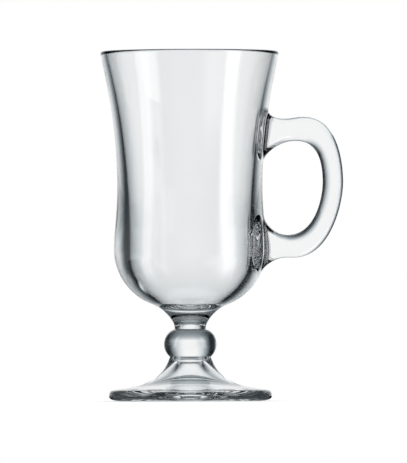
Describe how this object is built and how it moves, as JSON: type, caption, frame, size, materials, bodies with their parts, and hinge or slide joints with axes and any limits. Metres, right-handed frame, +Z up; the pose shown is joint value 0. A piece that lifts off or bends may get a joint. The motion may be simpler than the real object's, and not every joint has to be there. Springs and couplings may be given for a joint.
{
  "type": "irish coffee glass mug",
  "caption": "Footed clear glass mug for Irish coffee: a flared bowl with a flat-sided loop handle, on a short stem with a ball knop and a round foot.",
  "frame": {"origin": "on the mug's axis, in the plane of the flat ring that it stands on", "axes": "+Z up along the axis of the mug, +X out along the handle, Y across the flat sides of the handle"},
  "size_m": [0.1033, 0.076, 0.149],
  "materials": {
    "clear_glass": "polished"
  },
  "bodies": {
    "root": {"bowl": "clear_glass", "stem_collar": "clear_glass", "ball_knop": "clear_glass", "foot": "clear_glass", "handle": "clear_glass"}
  },
  "joints": []
}
